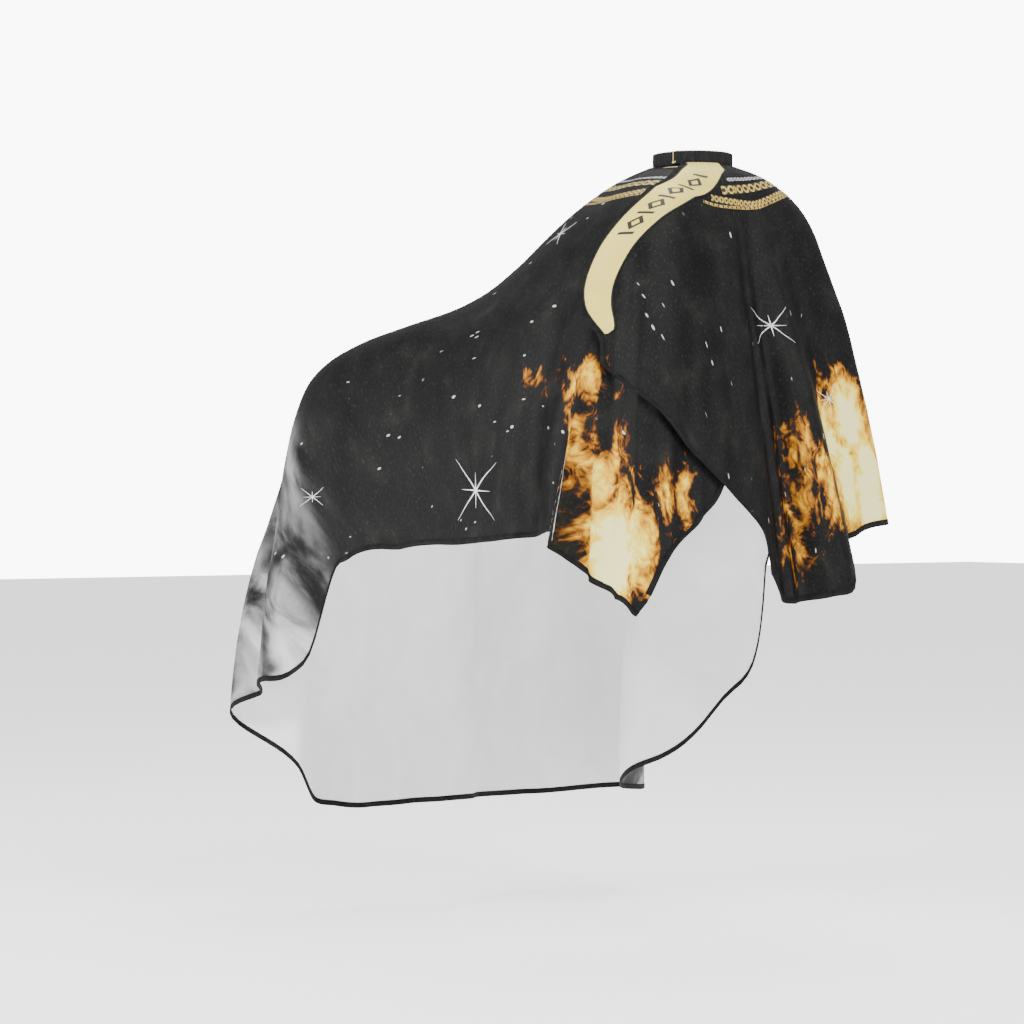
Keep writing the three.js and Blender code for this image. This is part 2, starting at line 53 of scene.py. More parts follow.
# Millimetres and degrees. Bearings go from the back round by the client's left.
NECK_RADIUS = 64
CLOTH = 0.8
SKIRT_DROP = 629
FLOOR_DROP = 1099
LAP_STEP = 6.0
LAP_EASE = 5.0
LAP_FADE = (95, 135)
HINGE_BEARING = 357
UNDERLAP_BEARING = -8
UNDERLAP_LEAN_END = 95
FLAP_BEARING = 412
TAB_END_BEARING = 427

# bearing, reach, drop, skirt flare, floor flare, then (out, down) shares of the yoke, shoulder and arm lines
DRAPE = [
    (0, 182, 350, 62, 130, (0.17, 0.05), (0.39, 0.21), (0.73, 0.63)),
    (25, 194, 350, 64, 130, (0.17, 0.05), (0.4, 0.2), (0.74, 0.63)),
    (54, 266, 335, 54, 95, (0.2, 0.04), (0.43, 0.14), (0.84, 0.64)),
    (90, 310, 368, 26, 44, (0.18, 0.035), (0.42, 0.14), (0.79, 0.57)),
    (115, 362, 342, 20, 46, (0.14, 0.045), (0.35, 0.17), (0.77, 0.6)),
    (137, 484, 324, 28, 52, (0.095, 0.05), (0.27, 0.185), (0.59, 0.565)),
    (153, 712, 334, 84, 132, (0.065, 0.05), (0.175, 0.18), (0.455, 0.575)),
    (166, 696, 332, 74, 98, (0.065, 0.055), (0.175, 0.19), (0.455, 0.59)),
    (180, 672, 338, 52, 70, (0.065, 0.06), (0.18, 0.21), (0.46, 0.63)),
]
HEM = [
    (30, 718), (54, 712), (60.6, 694), (66, 679), (73.6, 648), (78.5, 612), (83, 588), (93, 594),
    (116, 607), (134, 617), (140.8, 636), (142.6, 664), (143.6, 735), (144.6, 800), (145.8, 832),
    (148.4, 846), (150.2, 856), (152.1, 866), (154, 880), (155.9, 905), (157.8, 945), (159.7, 985),
    (161.6, 1030), (163.5, 1066), (167, 1082), (172, 1086), (182, 1080), (196, 1084), (209, 1076),
    (214.2, 1068), (219.6, 1040), (222.4, 1010), (225.1, 985), (227.8, 935), (229.5, 880), (231, 850),
    (233.3, 790), (236, 700), (238, 655), (250, 604), (270, 588), (289, 577), (306, 576), (322, 592),
    (331, 616), (337, 668), (347, 687), (357, 697),
]
FLAP_HEM = [(357, 697), (363, 694), (367, 682), (371, 650)]
UNDERLAP_EDGE = [(0, -8), (1, -8), (2, -6), (3, 0), (4, 13), (4.67, 30), (4.87, 40), (5.18, 54)]
FLAP_EDGE = [
    (0, 412), (1, 414), (1.7, 419), (2.1, 427), (2.35, 435), (2.65, 441.5), (2.9, 443), (3.15, 440),
    (3.48, 432), (4.07, 421), (4.2, 411), (4.4, 400), (4.57, 389), (4.71, 379.5), (4.82, 373.5), (5.04, 371),
]
# folds: bearing, half width, depth outwards, line where the fold starts
FOLDS = [
    (-62, 9, 10, 1.8), (-42, 8, 14, 1.8), (-21, 7, -34, 1.4), (-3, 8, 16, 1.4), (14, 8, -8, 2.6),
    (62, 9, 18, 2.6), (77, 6, -26, 2.0), (92, 9, 8, 3.2), (124, 8, 7, 3.6),
    (140, 3, -14, 3.9), (144, 2.4, 10, 3.9), (148, 2.2, -16, 4.1), (153.5, 2.4, 12, 4.0), (157, 2.4, -84, 4.3),
    (160.8, 2.4, 24, 4.3), (165, 3, -22, 4.2),
    (174, 5, -18, 4.2), (184, 5, 14, 4.2), (194, 5, -20, 4.2), (203, 4, 14, 4.1),
    (211, 3.6, -30, 4.0), (221, 7, 150, 4.2), (234, 4, -14, 3.9), (243, 8, 8, 3.6), (262, 9, -10, 3.0),
    (280, 9, 12, 2.4),
]
# finer creases over the folds, as the same four values
CREASES = [
    (-54, 3.4, -8, 2.0), (-33, 3.2, 10, 1.8), (-12, 2.8, -11, 1.9), (-6, 2.6, 7, 1.9), (3, 3, 9, 1.6),
    (27, 4, -5, 2.6), (40, 3.4, 6, 2.6), (57, 3, -9, 2.4), (66, 2.6, 10, 2.2), (71.5, 2, 12, 3.4),
    (75.5, 2.2, -34, 4.1), (84, 3.4, -8, 2.0), (92, 3, 9, 2.4), (101, 3.4, -6, 2.8), (109, 3, -5, 3.2),
    (118, 3, 4, 3.4), (131, 2.4, -5, 3.8), (170, 1.6, 8, 4.3), (178, 1.7, -7, 4.3), (189, 1.6, -8, 4.3),
    (199, 1.6, 7, 4.3), (215, 1.5, -8, 4.2), (228, 1.6, 8, 4.2), (238, 2, 6, 4.0), (252, 3, 6, 3.2),
    (271, 3, -7, 2.8), (290, 3, 7, 2.2),
]

# ---------- the drape ----------


def smooth(xs, ys, x):
    """Smooth curves through rows of knots, one x for each row, straight past the ends."""
    count = xs.shape[1]
    rows = np.arange(len(x))
    span_of = np.diff(xs, axis=1)
    slope_of = np.diff(ys, axis=1) / span_of
    i = np.clip((x[:, None] >= xs).sum(axis=1) - 1, 0, count - 2)

    def tangent(k):
        before = np.clip(k - 1, 0, count - 2)
        after = np.clip(k, 0, count - 2)
        a, b = span_of[rows, before], span_of[rows, after]
        return (slope_of[rows, after] * a + slope_of[rows, before] * b) / (a + b)

    span = span_of[rows, i]
    rise = slope_of[rows, i] * span
    t = (x - xs[rows, i]) / span
    a = tangent(i) * span - rise
    b = rise - tangent(i + 1) * span
    inside = ys[rows, i] + t * rise + t * (1 - t) * (a * (1 - t) + b * t)
    outside = ys[rows, i] + t * rise
    return np.where((t < 0) | (t > 1), outside, inside)


def along(points, x):
    table = np.array(points, float)
    x = np.atleast_1d(np.asarray(x, float))
    shape = (len(x), len(table))
    return smooth(np.broadcast_to(table[:, 0], shape), np.broadcast_to(table[:, 1], shape), x)


def ramp(low, high, x):
    t = np.clip((x - low) / (high - low), 0, 1)
    return t * t * (3 - 2 * t)


def meridian(row):
    _, reach, drop, skirt, floor, yoke, shoulder, arm = row
    points = [
        (NECK_RADIUS + out * (reach - NECK_RADIUS), down * drop)
        for out, down in ((0, 0), yoke, shoulder, arm, (1, 1))
    ]
    return points + [(reach + skirt, SKIRT_DROP), (reach + floor, FLOOR_DROP)]


half = [(row[0], meridian(row)) for row in DRAPE]
turn = half + [(360 - bearing, points) for bearing, points in reversed(half[1:-1])]
around = [(b - 360, p) for b, p in turn if b > 200] + turn + [(b + 360, p) for b, p in turn if b < 160]
AROUND_BEARINGS = np.array([b for b, _ in around], float)
AROUND_POINTS = np.array([p for _, p in around], float)


def profile(bearing, line):
    """Reach, drop and distance from the neck seam along the cloth, at bearings and lines of the drape."""
    shape = (len(bearing), len(AROUND_BEARINGS))
    xs = np.broadcast_to(AROUND_BEARINGS, shape)
    knots = np.empty((len(bearing), 7, 2))
    for k in range(7):
        for axis in range(2):
            knots[:, k, axis] = smooth(xs, np.broadcast_to(AROUND_POINTS[:, k, axis], shape), bearing)
    steps = np.linalg.norm(np.diff(knots, axis=1), axis=2)
    path = np.concatenate([np.zeros((len(bearing), 1)), np.cumsum(steps, axis=1)], axis=1)
    k = np.clip(np.floor(line).astype(int), 0, 5)
    rows = np.arange(len(bearing))
    at = path[rows, k] + (line - k) * (path[rows, k + 1] - path[rows, k])
    return smooth(path, knots[:, :, 0], at), smooth(path, knots[:, :, 1], at), at


def bare(bearing, line):
    out, down, _ = profile(bearing, line)
    angle = np.radians(bearing)
    return np.stack([out * np.sin(angle), out * np.cos(angle), -down], axis=1)


def fold_depth(bearing, line):
    total = np.zeros(len(bearing))
    for folds, bottom in ((FOLDS, 5.6), (CREASES, 5.2)):
        for at, half_width, depth, start in folds:
            turns = np.round((bearing - at) / 360)
            away = np.abs(bearing - at - turns * 360) / (half_width * 1.6)
            bell = np.where(away < 1, (1 - away**2) ** 2, 0)
            total += depth * bell * ramp(start, bottom, line) ** 0.8
    return total


def draped(bearing, line):
    step = 0.4
    across = bare(bearing - step, line) - bare(bearing + step, line)
    outwards = np.stack([-across[:, 1], across[:, 0], np.zeros(len(bearing))], axis=1)
    outwards /= np.linalg.norm(outwards, axis=1)[:, None]
    return bare(bearing, line) + outwards * fold_depth(bearing, line)[:, None]


def unit(vectors):
    return vectors / np.linalg.norm(vectors, axis=-1)[..., None]


def facing(bearing, line):
    step = 0.03
    across = draped(bearing + 0.4, line) - draped(bearing - 0.4, line)
    down = draped(bearing, line + step) - draped(bearing, np.maximum(0, line - step))
    return unit(np.cross(across, down))


def line_at(bearing, drop):
    low, high = np.full(len(bearing), 3.0), np.full(len(bearing), 6.0)
    for _ in range(24):
        middle = (low + high) / 2
        above = -draped(bearing, middle)[:, 2] < drop
        low, high = np.where(above, middle, low), np.where(above, high, middle)
    return low


def lap_step(bearing):
    return LAP_STEP * (1 - ramp(*LAP_FADE, bearing))


def under_inset(bearing, line):
    """How far inside the flap's surface the underlap lies. It fades out past the lap."""
    return lap_step(bearing) * (1 + (LAP_EASE / LAP_STEP) * ramp(0, 1.5, line))


def no_inset(bearing, line):
    return np.zeros(len(bearing))


def flat_place(bearing, distance):
    """Where a point of the cloth lies when the cape is laid flat, neck at the middle."""
    angle = np.radians(bearing)
    reach = NECK_RADIUS + distance
    return np.stack([reach * np.sin(angle), reach * np.cos(angle)], axis=1)


WAVES = np.random.default_rng(7).uniform(size=(26, 3))


def crumple(bearing, distance):
    """Shallow uneven rippling of hanging cloth, in millimetres, with gathers at the neck seam."""
    flat = flat_place(bearing, distance)
    total = np.zeros(len(bearing))
    for turn_share, size, phase in WAVES:
        angle = 2 * math.pi * turn_share
        length = 55 + 190 * size
        way = flat[:, 0] * math.cos(angle) + flat[:, 1] * math.sin(angle)
        total += np.sin(2 * math.pi * (way / length + phase)) * length / 900
    gathers = np.sin(np.radians(bearing) * 62) + 0.6 * np.sin(np.radians(bearing) * 41 + 1)
    return total * ramp(10, 220, distance) + 0.9 * gathers * np.exp(-distance / 26) * ramp(0, 6, distance)


def cloth(bearing, line, inset):
    """Points, outward directions and distances from the neck of a (columns, rows) grid."""
    shape = bearing.shape
    b, l = bearing.ravel(), line.ravel()
    distance = profile(b, l)[2]
    normal = facing(b, l)
    point = draped(b, l) + normal * (crumple(b, distance) - inset.ravel())[:, None]
    return point.reshape(*shape, 3), normal.reshape(*shape, 3), distance.reshape(shape)


def lines_down(last, upper, lower):
    """Lines of the drape down each column: even to the resting edge, then even to the hem."""
    top = np.broadcast_to(np.linspace(0, 4, upper, endpoint=False), (len(last), upper))
    low = 4 + np.linspace(0, 1, lower) * (last[:, None] - 4)
    return np.concatenate([top, low], axis=1)


# ---------- meshes ----------


def build(name, vertices, faces, materials, uvs=None, values=None, face_material=None, sharp=60):
    mesh = bpy.data.meshes.new(name)
    mesh.from_pydata((np.asarray(vertices) * MM).tolist(), [], [list(face) for face in faces])
    for material in materials:
        mesh.materials.append(material)
    if face_material is not None:
        mesh.polygons.foreach_set("material_index", face_material)
    corner = np.empty(len(mesh.loops), int)
    mesh.loops.foreach_get("vertex_index", corner)
    for layer, uv in (uvs or {}).items():
        mesh.uv_layers.new(name=layer).data.foreach_set("uv", (uv[corner] * MM).ravel())
    for layer, value in (values or {}).items():
        mesh.attributes.new(layer, "FLOAT", "POINT").data.foreach_set("value", value)
    piece = bpy.data.objects.new(name, mesh)
    bpy.context.scene.collection.objects.link(piece)
    bpy.ops.object.select_all(action="DESELECT")
    piece.select_set(True)
    bpy.context.view_layer.objects.active = piece
    bpy.ops.object.shade_smooth_by_angle(angle=math.radians(sharp))
    return piece


def on_both_faces(layers):
    return {key: np.concatenate([value, value]) for key, value in (layers or {}).items()}


def sheet_mesh(name, point, normal, thickness, materials, uvs=None, values=None):
    """A sheet of even thickness under a grid of points on its outer face."""
    columns, rows = point.shape[:2]
    size = columns * rows
    at = np.arange(size).reshape(columns, rows)
    a, b, c, d = at[:-1, :-1], at[1:, :-1], at[1:, 1:], at[:-1, 1:]
    outer = np.stack([a, b, c, d], axis=-1).reshape(-1, 4)
    inner = outer[:, ::-1] + size
    rim = np.concatenate([at[:, 0], at[-1, 1:], at[-2::-1, -1], at[0, -2:0:-1]])
    after = np.roll(rim, -1)
    edge = np.stack([after, rim, rim + size, after + size], axis=-1)
    faces = np.concatenate([outer, inner, edge])
    under = min(1, len(materials) - 1)
    face_material = np.concatenate([np.zeros(len(outer)), np.full(len(inner), under), np.zeros(len(edge))])
    vertices = np.concatenate([point.reshape(-1, 3), (point - normal * thickness).reshape(-1, 3)])
    return build(
        name, vertices, faces, materials, on_both_faces(uvs), on_both_faces(values), face_material.astype(int)
    )


def tube_mesh(name, rings, materials, uvs=None):
    """A closed body through rings of the same number of points, with a face at each end."""
    count, size = rings.shape[:2]
    at = np.arange(count * size).reshape(count, size)
    after = np.roll(at, -1, axis=1)
    sides = np.stack([at[:-1], after[:-1], after[1:], at[1:]], axis=-1).reshape(-1, 4)
    ends = [at[0][::-1].tolist(), at[-1].tolist()]
    vertices = rings.reshape(-1, 3)
    corner = vertices[sides[:, :3]]
    middle = vertices.mean(axis=0)
    spanned = np.cross(corner[:, 1] - middle, corner[:, 2] - middle)
    turned = np.einsum("ij,ij->", corner[:, 0] - middle, spanned)
    faces = sides.tolist() + ends
    if turned < 0:
        faces = [face[::-1] for face in faces]
    return build(name, vertices, faces, materials, uvs, sharp=50)


def run_length(points):
    steps = np.linalg.norm(np.diff(points, axis=0), axis=1)
    return np.concatenate([[0], np.cumsum(steps)])


# ---------- materials ----------


def shader_node(tree, kind, inputs=None, output=0, **settings):
    made = tree.nodes.new("ShaderNode" + kind)
    for key, value in settings.items():
        setattr(made, key, value)
    for key, value in (inputs or {}).items():
        if isinstance(value, bpy.types.NodeSocket):
            tree.links.new(value, made.inputs[key])
        else:
            made.inputs[key].default_value = value
    return made.outputs[output]


def fabric(name, roughness=0.6, specular=0.35, sheen=0.0):
    """An empty fabric material: its tree and its shader."""
    material = bpy.data.materials.new(name)
    material.use_nodes = True
    tree = material.node_tree
    shader = tree.nodes["Principled BSDF"]
    shader.inputs["Roughness"].default_value = roughness
    shader.inputs["Specular IOR Level"].default_value = specular
    shader.inputs["Sheen Weight"].default_value = sheen
    return material, tree, shader


def math_node(tree, operation, first, second=0.0, clamp=False):
    return shader_node(tree, "Math", {0: first, 1: second}, operation=operation, use_clamp=clamp)


def plus(tree, first, second):
    return math_node(tree, "ADD", first, second)


def minus(tree, first, second):
    return math_node(tree, "SUBTRACT", first, second)


def times(tree, first, second, clamp=False):
    return math_node(tree, "MULTIPLY", first, second, clamp)


def either(tree, first, second):
    return second if first is None else math_node(tree, "MAXIMUM", first, second)


def opposite(tree, value):
    return minus(tree, 1.0, value)


def size_of(tree, value):
    return math_node(tree, "ABSOLUTE", value)


def split_map(tree, vector):
    """The first two coordinates of a map."""
    split = tree.nodes.new("ShaderNodeSeparateXYZ")
    tree.links.new(vector, split.inputs[0])
    return split.outputs[0], split.outputs[1]


def blend_colors(tree, share, first, second):
    return shader_node(tree, "Mix", {0: share, 6: first, 7: second}, output=2, data_type="RGBA")


def graded(tree, value, stops):
    """A colour for each value, from stops of (position, colour)."""
    made = tree.nodes.new("ShaderNodeValToRGB")
    tree.links.new(value, made.inputs[0])
    elements = made.color_ramp.elements
    while len(elements) < len(stops):
        elements.new(0.5)
    for element, (position, color) in zip(elements, stops):
        element.position = position
        element.color = (*color, 1)
    return made.outputs[0]


def between(tree, value, low, high):
    """0 below low, 1 above high, and a smooth step from one to the other."""
    limits = {0: value, 1: low, 2: high, 3: 0.0, 4: 1.0}
    return shader_node(tree, "MapRange", limits, interpolation_type="SMOOTHSTEP", clamp=True)


def noise(tree, vector, scale, detail=4.0, distortion=0.0, stretch=None):
    if stretch:
        vector = shader_node(tree, "Mapping", {0: vector, 3: stretch})
    inputs = {"Vector": vector, "Scale": scale, "Detail": detail, "Distortion": distortion}
    return shader_node(tree, "TexNoise", inputs)


def raised(tree, shader, layers):
    """Bumps from (height, strength, distance) laid one over the other."""
    normal = None
    for height, strength, distance in layers:
        inputs = {"Height": height, "Strength": strength, "Distance": distance}
        if normal is not None:
            inputs["Normal"] = normal
        normal = shader_node(tree, "Bump", inputs)
    tree.links.new(normal, shader.inputs["Normal"])


def woven(tree, vector, per_metre):
    """Height of a plain weave: two sets of threads crossing."""
    across, along_way = split_map(tree, vector)
    turn_rate = 2 * math.pi * per_metre
    warp = math_node(tree, "SINE", times(tree, across, turn_rate))
    weft = math_node(tree, "SINE", times(tree, along_way, turn_rate))
    return times(tree, warp, weft)


def on_map(tree, layer):
    return shader_node(tree, "UVMap", uv_map=layer)


def on_value(tree, layer):
    return shader_node(tree, "Attribute", output=2, attribute_name=layer)


CLOTH_BLACKS = [
    (0.3, (0.001, 0.001, 0.0011)), (0.5, (0.0032, 0.0031, 0.003)),
    (0.62, (0.007, 0.0068, 0.0065)), (0.75, (0.016, 0.0156, 0.015)),
]
SMOKE_GREYS = [(0.3, (0.06, 0.06, 0.064)), (0.5, (0.24, 0.24, 0.245)), (0.66, (0.6, 0.6, 0.605))]
FIRE_COLORS = [
    (0.0, (0.015, 0.004, 0.001)), (0.15, (0.1, 0.028, 0.002)), (0.32, (0.36, 0.14, 0.006)),
    (0.5, (0.7, 0.36, 0.012)), (0.7, (0.88, 0.62, 0.06)), (0.88, (0.93, 0.76, 0.13)), (1.0, (0.95, 0.86, 0.36)),
]
WEAVE_THREADS = 900  # per metre
SPECK_CELLS = 14  # per metre
STITCH_RATE = 2 * math.pi * 300  # radians per metre of seam


def add_smoke(tree, flat, hanging, color):
    cloud = noise(tree, flat, 11, 10, 0.5)
    wisps = noise(tree, hanging, 8, 8, 0.7, stretch=(0.8, 1.6, 1))
    drift = plus(tree, times(tree, cloud, 0.6), times(tree, wisps, 0.4))
    smoke = times(tree, on_value(tree, "smoke_glow"), between(tree, drift, 0.4, 0.58), clamp=True)
    return blend_colors(tree, smoke, color, graded(tree, cloud, SMOKE_GREYS))


def add_flames(tree, hanging, color):
    tongues = noise(tree, hanging, 11, 5, 1.6, stretch=(1.7, 1, 1))
    licks = noise(tree, hanging, 34, 6, 2.4, stretch=(1.5, 1, 1))
    broken = plus(tree, times(tree, tongues, 2.6), times(tree, licks, 1.3))
    fire_glow = on_value(tree, "fire_glow")
    glow_left = minus(tree, fire_glow, minus(tree, broken, 1.4))
    lit = between(tree, fire_glow, 0.02, 0.2)
    heat = times(tree, glow_left, times(tree, lit, 0.75), clamp=True)
    return blend_colors(tree, between(tree, heat, 0.0, 0.2), color, graded(tree, heat, FIRE_COLORS))


def add_specks(tree, flat, color):
    slivers = None
    for turned, drawn_out in ((0.5, 4.0), (-0.9, 2.2)):
        laid = shader_node(tree, "Mapping", {0: flat, 2: (0, 0, turned), 3: (drawn_out, 1, 1)})
        cells = tree.nodes.new("ShaderNodeTexVoronoi")
        tree.links.new(laid, cells.inputs["Vector"])
        cells.inputs["Scale"].default_value = SPECK_CELLS
        sliver = opposite(tree, between(tree, cells.outputs["Distance"], 0.06, 0.09))
        slivers = either(tree, slivers, sliver)
    some = between(tree, noise(tree, flat, 7, 3), 0.49, 0.53)
    specks = times(tree, slivers, times(tree, some, 0.8))
    return blend_colors(tree, specks, color, (0.6, 0.6, 0.58, 1))


def printed_cloth():
    material, tree, shader = fabric("printed cloth", specular=0.16)
    flat, hanging = on_map(tree, "flat"), on_map(tree, "hanging")
    mottle = noise(tree, flat, 16, 7, 0.4)
    flecks = times(tree, between(tree, noise(tree, flat, 190, 3), 0.52, 0.8), 0.3)
    color = blend_colors(tree, flecks, graded(tree, mottle, CLOTH_BLACKS), (0.06, 0.06, 0.058, 1))
    color = add_smoke(tree, flat, hanging, color)
    color = add_flames(tree, hanging, color)
    color = add_specks(tree, flat, color)
    tree.links.new(color, shader.inputs["Base Color"])
    roughness = shader_node(tree, "MapRange", {0: mottle, 1: 0.3, 2: 0.7, 3: 0.48, 4: 0.62})
    tree.links.new(roughness, shader.inputs["Roughness"])
    rumples = (noise(tree, flat, 13, 5, 0.6), 0.35, 0.004)
    wrinkles = (noise(tree, flat, 60, 4, 0.3), 0.2, 0.0012)
    raised(tree, shader, [rumples, wrinkles, (woven(tree, flat, WEAVE_THREADS), 0.25, 0.0002)])
    return material


def reverse_cloth():
    material, tree, shader = fabric("unprinted reverse", roughness=0.62, specular=0.3, sheen=0.1)
    flat = on_map(tree, "flat")
    cloud = noise(tree, flat, 8, 6, 0.8)
    color = graded(tree, cloud, [(0.3, (0.78, 0.78, 0.78)), (0.7, (0.88, 0.88, 0.87))])
    tree.links.new(color, shader.inputs["Base Color"])
    rumples = (noise(tree, flat, 15, 5, 0.6), 0.3, 0.004)
    raised(tree, shader, [rumples, (woven(tree, flat, WEAVE_THREADS), 0.25, 0.0002)])
    return material


def stitched(name, dark, light, rows, stitch, threads=1300):
    """Woven tape with rows of stitches along it. Its map runs along the tape and then across."""
    material, tree, shader = fabric(name, roughness=0.75, specular=0.1)
    tape = on_map(tree, "tape")
    lengthways, across = split_map(tree, tape)
    color = graded(tree, noise(tree, tape, 60, 6), [(0.3, dark), (0.7, light)])
    dash = between(tree, math_node(tree, "SINE", times(tree, lengthways, STITCH_RATE)), -0.35, 0.1)
    seams = None
    for row in rows:
        away = size_of(tree, minus(tree, across, row * MM))
        seams = either(tree, seams, opposite(tree, between(tree, away, 0.0002, 0.0005)))
    stitches = times(tree, seams, dash)
    tree.links.new(blend_colors(tree, stitches, color, (*stitch, 1)), shader.inputs["Base Color"])
    sunken = minus(tree, stitches, times(tree, seams, 0.6))
    raised(tree, shader, [(sunken, 0.7, 0.0005), (woven(tree, tape, threads), 0.4, 0.0002)])
    return material


# the sash's pattern, in metres
CELL = 0.046
LOZENGE_LENGTH, LOZENGE_WIDTH = 0.017, 0.0145  # half sizes
PATTERN_START, PATTERN_END = 0.041, 0.235


def sash_cloth():
    """Cream satin with a plain pattern of bars and lozenges down its middle."""
    material, tree, shader = fabric("cream satin sash", roughness=0.42, specular=0.4, sheen=0.2)
    tape = on_map(tree, "tape")
    lengthways, across = split_map(tree, tape)
    off_middle = size_of(tree, across)
    cream = graded(tree, noise(tree, tape, 14, 5, 0.4), [(0.3, (0.74, 0.58, 0.11)), (0.7, (0.85, 0.7, 0.15))])
    cells = math_node(tree, "FRACT", math_node(tree, "DIVIDE", lengthways, CELL))
    along_cell = size_of(tree, minus(tree, cells, 0.5))
    long_share = times(tree, along_cell, CELL / LOZENGE_LENGTH)
    lozenge = plus(tree, long_share, times(tree, off_middle, 1 / LOZENGE_WIDTH))
    solid = opposite(tree, between(tree, lozenge, 0.92, 1.0))
    heart = opposite(tree, between(tree, lozenge, 0.42, 0.5))
    bar_width = opposite(tree, between(tree, off_middle, 0.013, 0.0138))
    bar = times(tree, between(tree, along_cell, 0.425, 0.45), bar_width)
    ink = math_node(tree, "MAXIMUM", minus(tree, solid, heart), bar)
    begun = between(tree, lengthways, PATTERN_START, PATTERN_START + 0.0005)
    kept = times(tree, begun, opposite(tree, between(tree, lengthways, PATTERN_END - 0.0005, PATTERN_END)))
    color = blend_colors(tree, times(tree, ink, kept), cream, (0.018, 0.016, 0.015, 1))
    tree.links.new(color, shader.inputs["Base Color"])
    rumples = (noise(tree, tape, 22, 4, 0.5), 0.25, 0.002)
    raised(tree, shader, [rumples, (woven(tree, tape, 1100), 0.2, 0.00015)])
    return material


def gathered_band():
    material, tree, shader = fabric("gathered black band", roughness=0.7, specular=0.14)
    tape = on_map(tree, "tape")
    crush_relief_and_shade = noise(tree, tape, 90, 5, 0.8, stretch=(3, 0.6, 1))
    # The band's colour follows the crush's height: painted shade, darker in the low parts of the crinkles.
    color = graded(tree, crush_relief_and_shade, [(0.3, (0.004, 0.004, 0.0045)), (0.7, (0.02, 0.02, 0.021))])
    tree.links.new(color, shader.inputs["Base Color"])
    raised(tree, shader, [(crush_relief_and_shade, 0.6, 0.0012), (woven(tree, tape, 1300), 0.3, 0.0002)])
    return material


def soft_plain(name, dark, light, grain, roughness=0.7, strength=0.5):
    """A plain textile on object coordinates, for small pieces."""
    material, tree, shader = fabric(name, roughness=roughness, specular=0.25, sheen=0.2)
    place = shader_node(tree, "TexCoord", output=3)
    fine = noise(tree, place, grain, 6)
    tree.links.new(graded(tree, fine, [(0.32, dark), (0.68, light)]), shader.inputs["Base Color"])
    raised(tree, shader, [(fine, strength, 0.0006)])
    return material


def chain_print(name, dark, light, pitch, width, gap):
    """Printed chain: ring links side by side along the map's first direction."""
    material, tree, shader = fabric(name, roughness=0.4, specular=0.5, sheen=0.05)
    tape = on_map(tree, "tape")
    lengthways, across = split_map(tree, tape)
    link = math_node(tree, "FRACT", math_node(tree, "DIVIDE", lengthways, pitch * MM))
    x = times(tree, minus(tree, link, 0.5), 1.9)
    y = math_node(tree, "DIVIDE", across, width * MM / 2)
    far = math_node(tree, "SQRT", plus(tree, times(tree, x, x), times(tree, y, y)))
    inside = opposite(tree, between(tree, far, 0.86, 0.98))
    ring = times(tree, inside, between(tree, far, gap, gap + 0.12))
    off_wire = size_of(tree, minus(tree, far, (1 + gap) / 2))
    glint = times(tree, opposite(tree, off_wire), noise(tree, tape, 240, 3))
    metal = graded(tree, glint, [(0.25, dark), (0.62, light)])
    color = blend_colors(tree, ring, (0.012, 0.012, 0.012, 1), metal)
    tree.links.new(color, shader.inputs["Base Color"])
    raised(tree, shader, [(ring, 0.25, 0.0004), (woven(tree, tape, WEAVE_THREADS), 0.2, 0.0002)])
    return material


def grey(level):
    return (level, level, level)


PRINTED = printed_cloth()
REVERSE = reverse_cloth()
BINDING = stitched("black binding", grey(0.004), grey(0.013), rows=(6.6, 23.4), stitch=grey(0.03))
TAPE = stitched("black seam tape", grey(0.005), grey(0.016), rows=(1.2, 4.8), stitch=grey(0.04))
TRIM = soft_plain("black trim cord", grey(0.004), grey(0.016), 900)
SATIN = sash_cloth()
BAND = gathered_band()
ELASTIC = stitched(
    "knitted elastic", (0.5, 0.46, 0.34), (0.68, 0.64, 0.5), rows=(3, 10), stitch=(0.4, 0.37, 0.3), threads=700
)
LINING = soft_plain("cream lining", (0.62, 0.5, 0.2), (0.82, 0.72, 0.4), 500, roughness=0.6)
PIPING = soft_plain("yellow piping", (0.62, 0.46, 0.12), (0.85, 0.7, 0.3), 900, roughness=0.55)
HOOK = soft_plain("hook and loop tape", grey(0.004), grey(0.03), 1700, roughness=0.9, strength=0.9)
GOLD = chain_print("printed gold chain", (0.12, 0.06, 0.006), (0.86, 0.62, 0.1), pitch=15, width=16, gap=0.4)
FINE_GOLD = chain_print(
    "printed fine gold chain", (0.14, 0.07, 0.008), (0.82, 0.58, 0.1), pitch=9, width=12.5, gap=0.3
)
SILVER = chain_print("printed silver chain", grey(0.1), (0.72, 0.72, 0.74), pitch=9, width=7.5, gap=0.3)
STAR = soft_plain("printed white star", grey(0.62), (0.85, 0.85, 0.84), 300)

# ---------- sheets ----------

# glows of the print: bearing, distance from the neck, half width in degrees, half length, strength
FLAMES = [
    (79, 452, 8, 46, 1.1), (71, 440, 6, 60, 1.15), (72, 530, 6, 70, 1.1), (97, 452, 8, 34, 0.8),
    (65.5, 610, 6, 90, 1.5), (63, 710, 8, 120, 2.6), (56, 690, 7, 90, 1.9), (52, 650, 6, 80, 1.2),
    (48, 600, 5, 60, 1.15), (40, 590, 4, 50, 1.05), (39, 560, 3, 40, 0.95), (64, 790, 8, 70, 1.9),
    (348, 490, 7, 70, 1.1), (351, 570, 7, 80, 1.1), (355, 650, 7, 60, 0.95), (340, 540, 6, 80, 1.1),
    (326, 480, 7, 80, 1.8), (315, 470, 8, 90, 2.3), (312, 590, 9, 120, 2.5), (321, 560, 8, 90, 2.2),
    (300, 520, 9, 130, 2.1), (286, 500, 9, 110, 1.5), (272, 520, 9, 80, 1.3), (262, 440, 6, 60, 0.9),
]
